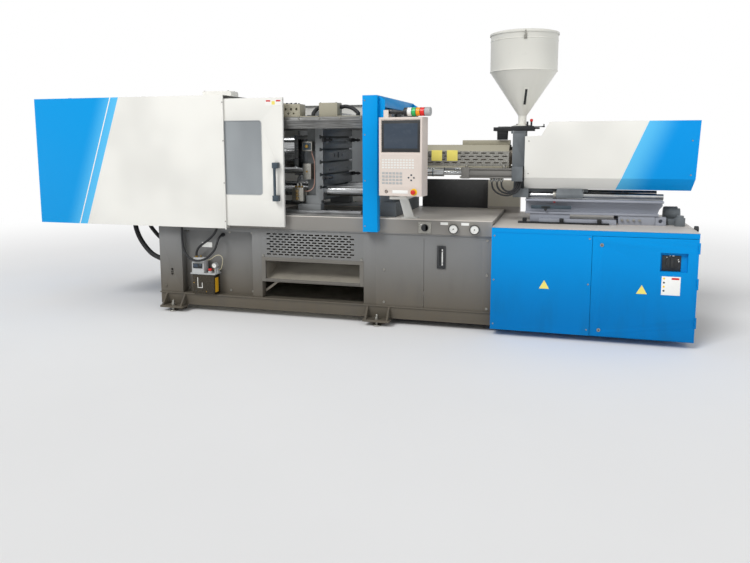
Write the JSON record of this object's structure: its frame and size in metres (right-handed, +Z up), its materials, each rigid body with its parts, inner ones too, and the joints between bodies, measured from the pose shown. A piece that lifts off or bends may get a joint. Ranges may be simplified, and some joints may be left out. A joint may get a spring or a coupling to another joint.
{
  "type": "injection moulding machine",
  "caption": "Horizontal plastic injection moulding machine with clamp hood, sliding gates, blue platen cover, perforated barrel guard, hopper, swivel panel and electric cabinet.",
  "frame": {"origin": "middle of the outline on the floor", "axes": "+X from the clamp end to the injection end, +Y to the rear, +Z up"},
  "size_m": [6.36, 1.9509, 2.696],
  "materials": {
    "base_grey": "satin",
    "table_grey": "satin",
    "cream_cover": "satin",
    "blue_cover": "gloss",
    "cast_grey": "painted",
    "rail_grey": "satin",
    "polished_steel": "ground",
    "black_steel": "matt",
    "black_plastic": "matt",
    "hose_rubber": "matt",
    "gauge_steel": "brushed",
    "light_plastic": "satin",
    "amber_tank": "clear",
    "cooler_blue": "gloss",
    "clear_window": "clear",
    "red_button": "gloss"
  },
  "bodies": {
    "frame": {"base_frame": "base_grey", "base_panels": "base_grey", "vent_panel": "base_grey", "drop_chute": "base_grey", "foot_brackets": "base_grey", "machine_table": "table_grey", "clamp_hood": "cream_cover", "platen_cover": "blue_cover", "fixed_platen": "cast_grey", "cylinder_platen": "cast_grey", "tie_bars": "polished_steel", "tie_bar_nuts": "black_steel", "gate_rails": "rail_grey", "slideways": "polished_steel", "top_junction_box": "cream_cover", "purge_guard": "black_plastic", "injection_beams": "rail_grey", "guide_rods": "polished_steel", "electric_cabinet": "blue_cover", "pressure_gauges": "gauge_steel", "level_gauge": "gauge_steel", "lubricator_pump": "light_plastic", "lubricator_tank": "amber_tank", "small_hoses": "hose_rubber", "conduits": "hose_rubber", "oil_cooler": "cooler_blue", "pump_motor": "cast_grey", "panel_arm": "light_plastic"},
    "gate_front": {"front_gate": "cream_cover", "front_gate_window": "clear_window", "front_gate_handle": "black_plastic"},
    "gate_rear": {"rear_gate": "cream_cover", "rear_gate_window": "clear_window"},
    "clamp_carriage": {"moving_platen": "cast_grey", "clamp_ram": "polished_steel", "manifold_block": "gauge_steel"},
    "ejector": {"ejector_plate": "polished_steel"},
    "injection_carriage": {"feed_block": "cast_grey", "barrel": "polished_steel", "heater_bands": "black_steel", "barrel_guard": "table_grey", "guard_grille": "rail_grey", "carriage_cylinder": "rail_grey", "injection_hood": "cream_cover", "hopper_base": "cast_grey"},
    "injection_drive": {"drive_plate": "cast_grey"},
    "screw_body": {"screw": "polished_steel"},
    "hopper_unit": {"hopper": "cream_cover", "hopper_lid": "cream_cover", "hopper_carriage": "cast_grey"},
    "shutter": {"hopper_shutter": "polished_steel"},
    "panel": {"control_panel": "light_plastic"},
    "estop": {"estop_button": "red_button"},
    "lamp": {"signal_lamp": "light_plastic"},
    "cabinet_door_body": {"cabinet_door": "blue_cover"},
    "lock_upper_body": {"lock_upper": "polished_steel"},
    "lock_lower_body": {"lock_lower": "polished_steel"},
    "main_switch": {"main_switch_knob": "black_plastic"},
    "mode_switch": {"mode_switch_knob": "black_plastic"},
    "filler_cap": {"lubricator_cap": "red_button"}
  },
  "joints": [
    {"name": "front_gate_slide", "type": "slide", "parent": "frame", "child": "gate_front", "axis": [1, 0, 0], "range_m": [-0.02, 0.765]},
    {"name": "rear_gate_slide", "type": "slide", "parent": "frame", "child": "gate_rear", "axis": [-1, 0, 0], "range_m": [0, 0.78]},
    {"name": "moving_platen_slide", "type": "slide", "parent": "frame", "child": "clamp_carriage", "axis": [1, 0, 0], "range_m": [-0.35, 0.25]},
    {"name": "ejector_slide", "type": "slide", "parent": "clamp_carriage", "child": "ejector", "axis": [1, 0, 0], "range_m": [0, 0.1]},
    {"name": "injection_unit_slide", "type": "slide", "parent": "frame", "child": "injection_carriage", "axis": [1, 0, 0], "range_m": [-0.07, 0.25]},
    {"name": "injection_slide", "type": "slide", "parent": "injection_carriage", "child": "injection_drive", "axis": [1, 0, 0], "range_m": [0, 0.2]},
    {"name": "screw_spin", "type": "hinge", "parent": "injection_drive", "child": "screw_body", "pos_m": [1.9, 0.072, 1.555], "axis": [1, 0, 0], "continuous": true},
    {"name": "hopper_slide", "type": "slide", "parent": "injection_carriage", "child": "hopper_unit", "axis": [1, 0, 0], "range_m": [-0.192, 0]},
    {"name": "hopper_shutter_slide", "type": "slide", "parent": "hopper_unit", "child": "shutter", "axis": [1, 0, 0], "range_m": [-0.075, 0]},
    {"name": "panel_swivel", "type": "hinge", "parent": "frame", "child": "panel", "pos_m": [0.76, -0.853, 1.228], "axis": [0, 0, 1], "range_deg": [-60, 60]},
    {"name": "estop_press", "type": "slide", "parent": "panel", "child": "estop", "axis": [0.1305, 0.9914, 0], "range_m": [0, 0.006], "stiffness_N_per_m": 900},
    {"name": "signal_lamp_fold", "type": "hinge", "parent": "panel", "child": "lamp", "pos_m": [0.61259, -0.82351, 1.938], "axis": [-0.1305, -0.9914, 0], "range_deg": [0, 90]},
    {"name": "cabinet_door_hinge", "type": "hinge", "parent": "frame", "child": "cabinet_door_body", "pos_m": [3.146, -0.692, 0.5], "axis": [0, 0, 1], "range_deg": [0, 110]},
    {"name": "lock_upper_turn", "type": "hinge", "parent": "cabinet_door_body", "child": "lock_upper_body", "pos_m": [2.408, -0.692, 0.837], "axis": [0, -1, 0], "range_deg": [0, 90]},
    {"name": "lock_lower_turn", "type": "hinge", "parent": "cabinet_door_body", "child": "lock_lower_body", "pos_m": [2.408, -0.692, 0.116], "axis": [0, -1, 0], "range_deg": [0, 90]},
    {"name": "main_switch_turn", "type": "hinge", "parent": "cabinet_door_body", "child": "main_switch", "pos_m": [2.95, -0.692, 0.711], "axis": [0, -1, 0], "range_deg": [0, 90]},
    {"name": "mode_switch_turn", "type": "hinge", "parent": "frame", "child": "mode_switch", "pos_m": [0.9, -0.592, 0.92], "axis": [0, 1, 0], "range_deg": [-45, 45]},
    {"name": "filler_cap_press", "type": "slide", "parent": "frame", "child": "filler_cap", "axis": [0, 0, -1], "range_m": [0, 0.006], "stiffness_N_per_m": 500}
  ]
}
